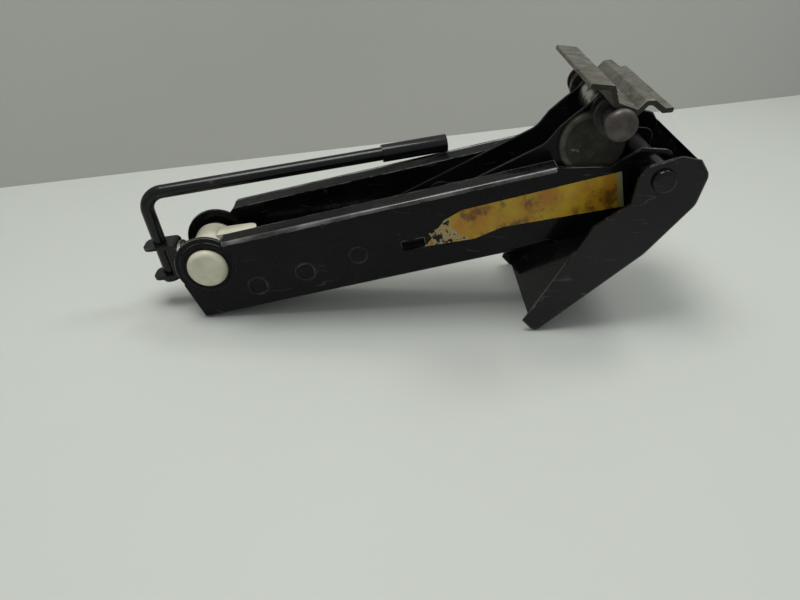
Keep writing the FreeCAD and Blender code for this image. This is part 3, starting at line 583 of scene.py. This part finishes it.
# %% Ball thrust bearing
BEARING_LOW, BEARING_HIGH = -22.1, -16.8
RACE, RACE_BORE, RACE_FACE, RACE_OUTER, RACE_CHAMFER = 1.6, 6.15, 11.2, 11.45, 0.3
BALL_ROW, BALL, BALLS = 8.8, 1.45, 15
bm = bmesh.new()
for low, high in ((BEARING_LOW, BEARING_LOW + RACE), (BEARING_HIGH - RACE, BEARING_HIGH)):
    race = profile(bm, [(low, 0, RACE_BORE), (low, 0, RACE_FACE),
                        (low + RACE_CHAMFER, 0, RACE_OUTER), (high - RACE_CHAMFER, 0, RACE_OUTER),
                        (high, 0, RACE_FACE), (high, 0, RACE_BORE)])
    bmesh.ops.spin(bm, geom=race, cent=(0, 0, 0), axis=(1, 0, 0), angle=2 * math.pi,
                   steps=48, use_merge=True, use_duplicate=False)
for index in range(BALLS):
    angle = 2 * math.pi * index / BALLS
    bmesh.ops.create_icosphere(bm, subdivisions=2, radius=BALL, matrix=Matrix.Translation(
        ((BEARING_LOW + BEARING_HIGH) / 2, BALL_ROW * math.sin(angle),
         BALL_ROW * math.cos(angle))))
bearing = finish_piece(bm, "ball_thrust_bearing", screw_place, "screw", greased_steel)
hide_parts("thrust_bearing")

# %% [markdown]
# The walls of the base arm are pressed outwards in a low round collar about each cap. A collar
# is a shallow hump in section, spun once around the pivot; the mirror gives the far wall its
# own.

# %% Pressed collars
WALL, SUNK = 23.9, 0.2


def wall_ring(bm, reach, rise, radius, width, height):
    """Low rounded ring on the near wall of the base arm."""
    hump = profile(bm, [(reach, SUNK - WALL, rise + radius - width / 2),
                        (reach, -WALL - height * 0.55, rise + radius - width * 0.36),
                        (reach, -WALL - height, rise + radius - width * 0.12),
                        (reach, -WALL - height, rise + radius + width * 0.12),
                        (reach, -WALL - height * 0.55, rise + radius + width * 0.36),
                        (reach, SUNK - WALL, rise + radius + width / 2)])
    bmesh.ops.spin(bm, geom=hump, cent=(reach, 0, rise), axis=(0, 1, 0), angle=2 * math.pi,
                   steps=64, use_merge=True, use_duplicate=False)


bm = bmesh.new()
wall_ring(bm, reach=0, rise=0, radius=18.6, width=4.2, height=1.1)
repeat_on_far_side(bm)
finish_piece(bm, "pressed_collars", arm_place, "arm", arm_paint, 50)

# %% [markdown]
# Further along, the near wall carries a plain stamped ring, and a raised lip around each of the
# two round dimples. They are the same shape in other sizes, so one function draws them all.

# %% Stamped rings
bm = bmesh.new()
for reach, rise, radius, width in ((110.7, -17.1, 6.6, 1.5), (30.8, -24.7, 7.6, 1.6),
                                   (69.1, -21.3, 7.6, 1.6)):
    wall_ring(bm, reach, rise, radius, width, height=0.45)
finish_piece(bm, "stamped_rings", arm_place, "arm", ring_paint, 50)

# %% [markdown]
# The lower link's pin is riveted flush and painted over, and each of its ends has a flat painted
# disc. The disc starts just inside the wall's face. A face with an open boundary isn't divided
# by the two insets: they only lift it, so it ends as an open sheet 0.23 mm outside the wall.

# %% Painted rivet heads
LINK_REACH, LINK_DROP = 180, math.radians(10)
RIVET_RADIUS, RIVET_DEPTH = 7.6, 0.05
bm = bmesh.new()
rivet_centre = Vector((LINK_REACH * math.cos(LINK_DROP), RIVET_DEPTH - WALL,
                       -LINK_REACH * math.sin(LINK_DROP)))
facing_out = Matrix.Rotation(math.pi / 2, 4, "X")
bmesh.ops.create_circle(bm, cap_ends=True, segments=40, radius=RIVET_RADIUS,
                        matrix=Matrix.Translation(rivet_centre) @ facing_out)
for width, lift in ((1.1, 0.18), (2.0, 0.10)):
    bmesh.ops.inset_region(bm, faces=[max(bm.faces, key=lambda face: len(face.verts))],
                           thickness=width, depth=lift)
repeat_on_far_side(bm)
finish_piece(bm, "painted_rivet_heads", arm_place, "arm", smooth_paint, 80)

# %% [markdown]
# The flanges end in a rolled edge, which is why a bright line runs along them. It is a capped
# round bar, one for each side, sunk into the flange so that only its outer half stands proud.

# %% Rolled flange edges
HEM_START, HEM_END, HEM_SIDE, HEM_RISE, HEM_RADIUS = 21.5, 259.5, 35.5, 21.2, 1.6
bm = bmesh.new()
for side in (-1, 1):
    round_bar(bm, HEM_START, HEM_END, HEM_RADIUS, segments=24, side=side * HEM_SIDE,
              rise=HEM_RISE)
# The bar's paint is lightened: a painted highlight on top of the one that its rounding catches.
finish_piece(bm, "rolled_flange_edges", arm_place, "arm", hem_paint_with_highlight, 50)

# %% [markdown]
# The cheek plates have a rolled rim along their rear and upper edge, lighter than the middle,
# whose zinc is painted darker as shade. The rim is a rounded band, spun part of the way around
# the plate's centre.

# %% Rolled cheek rims
CHEEK_FACE, RIM_RADIUS = 20.6, 20.4
RIM_START, RIM_SWEEP = 62, -190
RIM_SHOULDER, RIM_CREST = 0.35, 0.55
bm = bmesh.new()
centre = Vector((288, 0, 27))
start = Matrix.Rotation(math.radians(RIM_START), 4, "Y")
section = [(0, SUNK - CHEEK_FACE, RIM_RADIUS - 2.3),
           (0, -CHEEK_FACE - RIM_SHOULDER, RIM_RADIUS - 1.6),
           (0, -CHEEK_FACE - RIM_CREST, RIM_RADIUS),
           (0, -CHEEK_FACE - RIM_SHOULDER, RIM_RADIUS + 1.7),
           (0, SUNK - CHEEK_FACE, RIM_RADIUS + 2.4)]
band = profile(bm, [centre + start @ Vector(point) for point in section])
bmesh.ops.spin(bm, geom=band, cent=centre, axis=(0, 1, 0), angle=math.radians(RIM_SWEEP),
               steps=48, use_duplicate=False)
cap_open_ends(bm)
repeat_on_far_side(bm)
finish_piece(bm, "cheek_rims", arm_place, "lift", rim_zinc, 50)

# %% [markdown]
# The lugs are welded under the saddle. A weld bead is a row of overlapping frozen drops, so a
# line of flattened spheres that sink into each other reads as one.

# %% Weld beads under the saddle
LUG_SIDES = (29.3, 34.7)
WELD_START, WELD_HEIGHT, WAVER = -8.5, 7.9, 0.15
DROPS, DROP_STEP, DROP_RADIUS = 12, 1.25, 1.3
bm = bmesh.new()
squeeze = Matrix.Diagonal((1.0, 1.25, 0.95, 1))
for side in (-1, 1):
    for lug_side in LUG_SIDES:
        for index in range(DROPS):
            drop = Matrix.Translation((WELD_START + DROP_STEP * index, side * lug_side,
                                       WELD_HEIGHT + WAVER * math.sin(index * 2.4)))
            bmesh.ops.create_icosphere(bm, subdivisions=2, radius=DROP_RADIUS,
                                       matrix=drop @ squeeze)
finish_piece(bm, "saddle_welds", saddle_place, "head", lug_zinc_shaded, 60)

# %% [markdown]
# The jack rests on a pale bench in front of a pale wall. Both are plain, with a faint cloudy
# tone, and show from their front only: rays that meet the back pass through, so the jack can
# be viewed from behind the wall.

# %% Bench and wall
def stage_plane(name, colour, matrix, size):
    """Matt sheet for the surroundings that shows from its front only."""
    material, tree, shader = new_material(name, Roughness=0.62)
    coords = add_node(tree, "ShaderNodeTexCoord")["Object"]
    cloud = noise(tree, coords, 3.0, 3.0)
    shade = tuple(0.93 * part for part in colour[:3]) + (1,)
    feed(tree, shader, Base_Color=blend_colour(tree, cloud, colour, shade))
    clear = add_node(tree, "ShaderNodeBsdfTransparent")[0]
    behind = add_node(tree, "ShaderNodeNewGeometry")["Backfacing"]
    seen = add_node(tree, "ShaderNodeMixShader", {0: behind, 1: shader.outputs[0], 2: clear})[0]
    tree.links.new(seen, tree.get_output_node("ALL").inputs["Surface"])
    bm = bmesh.new()
    bmesh.ops.create_grid(bm, x_segments=1, y_segments=1, size=size, matrix=matrix)
    mesh = bpy.data.meshes.new(name)
    bm.to_mesh(mesh)
    bm.free()
    mesh.materials.append(material)
    sheet = bpy.data.objects.new(name, mesh)
    bpy.context.scene.collection.objects.link(sheet)


wall_start, wall_end = Vector((-0.4251, 0.227, 0)), Vector((0.5974, 0.5148, 0))
wall_turn = math.atan2(wall_end.y - wall_start.y, wall_end.x - wall_start.x)
wall_matrix = (Matrix.Translation((wall_start + wall_end) / 2) @
               Matrix.Rotation(wall_turn, 4, "Z") @ Matrix.Rotation(math.pi / 2, 4, "X"))
stage_plane("bench_top", (0.55, 0.575, 0.525, 1), Matrix.Identity(4), size=6.0)
stage_plane("room_wall", (0.46, 0.46, 0.425, 1), wall_matrix, size=1.6)

# %% [markdown]
# A large soft lamp overhead does most of the work. A second one behind and to the right draws
# bright lines on the flanges and on the foot's slope, and the world fills the shadows.

# %% Light
def soft_lamp(name, position, target, size, power):
    """Square lamp aimed at a point."""
    data = bpy.data.lights.new(name, "AREA")
    data.size = size
    data.energy = power
    lamp = bpy.data.objects.new(name, data)
    lamp.location = position
    lamp.rotation_euler = (Vector(target) - Vector(position)).to_track_quat("-Z", "Y").to_euler()
    bpy.context.scene.collection.objects.link(lamp)


soft_lamp("overhead_lamp", (-0.20, -0.10, 1.3), (0, 0, 0.05), size=0.6, power=10)
soft_lamp("rear_lamp", (0.55, 0.25, 0.95), (0.05, 0, 0.08), size=0.25, power=2.5)
world = bpy.data.worlds.new("room")
world.use_nodes = True
bpy.context.scene.world = world
background = world.node_tree.nodes["Background"]
background.inputs["Color"].default_value = (0.93, 0.96, 1.0, 1)
background.inputs["Strength"].default_value = 0.42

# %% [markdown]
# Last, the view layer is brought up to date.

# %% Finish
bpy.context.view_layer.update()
